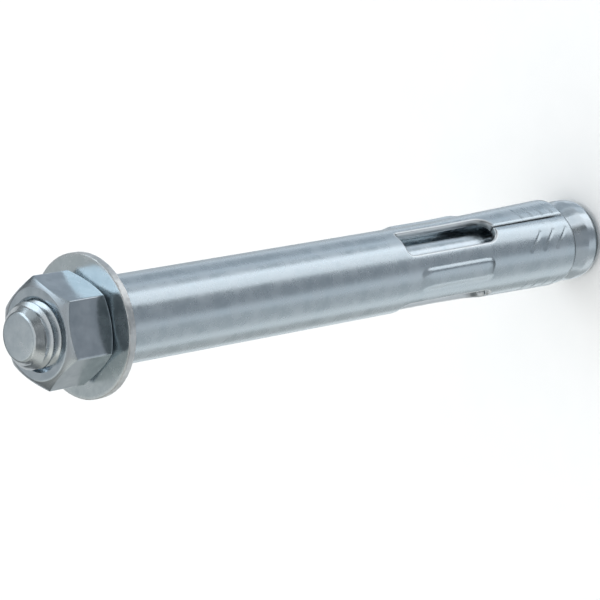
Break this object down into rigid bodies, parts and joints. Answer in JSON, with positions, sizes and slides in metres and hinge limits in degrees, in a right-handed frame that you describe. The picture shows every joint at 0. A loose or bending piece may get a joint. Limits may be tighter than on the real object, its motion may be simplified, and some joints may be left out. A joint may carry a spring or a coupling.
{
  "type": "sleeve anchor",
  "caption": "Zinc plated steel sleeve anchor: cone-headed threaded stud in a rolled, slotted expansion sleeve, with a flat washer and a hex nut.",
  "frame": {"origin": "centre of the flat end of the cone head, on which the anchor stands", "axes": "+Z along the anchor's axis, from the cone head to the nut; +X is the side that the picture shows at the top"},
  "size_m": [0.026, 0.026, 0.1445],
  "materials": {
    "stud_zinc": "bright zinc plated, rolled and turned",
    "sleeve_zinc": "bright zinc plated sheet, satin",
    "washer_zinc": "bright zinc plated, punched",
    "nut_zinc": "bright zinc plated, cold formed"
  },
  "bodies": {
    "anchor": {"stud": "stud_zinc", "sleeve": "sleeve_zinc"},
    "washer": {"washer": "washer_zinc"},
    "nut": {"hex_nut": "nut_zinc"}
  },
  "joints": [
    {"name": "washer_travel", "type": "slide", "parent": "anchor", "child": "washer", "axis": [0, 0, 1], "range_m": [0, 0.0088]},
    {"name": "nut_turn", "type": "hinge", "parent": "washer", "child": "nut", "pos_m": [0, 0, 0.1355], "axis": [0, 0, 1], "range_deg": [0, 1800]}
  ],
  "couplings": [
    {"joint": "washer_travel", "follows": "nut_turn", "m_per_rad": 0.00027852}
  ]
}
